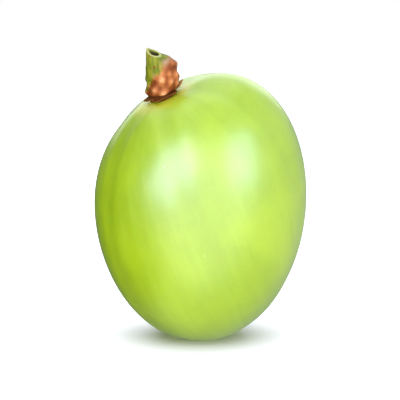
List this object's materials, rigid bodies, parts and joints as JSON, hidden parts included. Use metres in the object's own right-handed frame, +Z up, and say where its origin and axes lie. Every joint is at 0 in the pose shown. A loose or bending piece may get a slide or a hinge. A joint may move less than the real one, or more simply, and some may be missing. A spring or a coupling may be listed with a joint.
{
  "type": "indian gooseberry",
  "caption": "Whole oval yellow-green fruit that stands on a small flat spot, with a star of sepals and a swollen, broken-off stalk end on its shoulder.",
  "frame": {"origin": "on the surface that the fruit stands on, under the middle of its width and depth", "axes": "+Z up through the fruit, +X to the right and -Y to the front, towards the picture's viewer; the stem end is at the upper left"},
  "size_m": [0.0304, 0.0302, 0.0421],
  "materials": {
    "fruit_skin": "waxy translucent skin",
    "calyx_brown": "dry sepals, matte",
    "stalk_tan": "bumpy stalk end, satin"
  },
  "bodies": {
    "root": {"fruit": "fruit_skin", "calyx": "calyx_brown", "stalk": "stalk_tan"}
  },
  "joints": []
}
